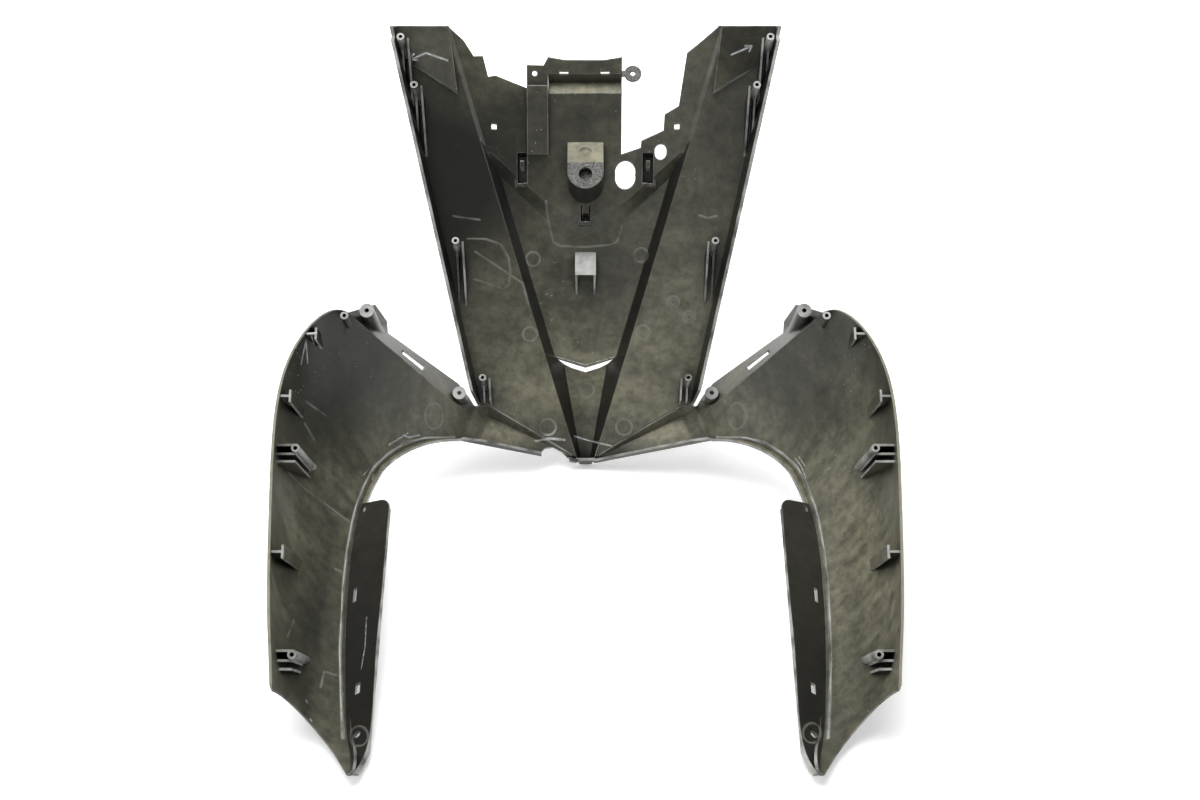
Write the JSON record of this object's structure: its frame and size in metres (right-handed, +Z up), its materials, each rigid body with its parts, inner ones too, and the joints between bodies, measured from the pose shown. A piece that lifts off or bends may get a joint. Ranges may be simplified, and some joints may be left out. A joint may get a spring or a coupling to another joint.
{
  "type": "scooter front fairing",
  "caption": "Thin one-piece moulded front fairing of a scooter: pointed shield with horns, side wings and legs round the wheel arch, inner screw posts, and a broken edge beside the nose.",
  "frame": {"origin": "floor under the middle of the bounding box, in the pose of the picture", "axes": "+Z up, +Y from the leg tips towards the front of the fairing, +X to its right as seen from inside"},
  "size_m": [0.484, 0.5144, 0.4025],
  "materials": {
    "shell": "moulded"
  },
  "bodies": {
    "root": {"front_fairing_shell": "shell"}
  },
  "joints": []
}
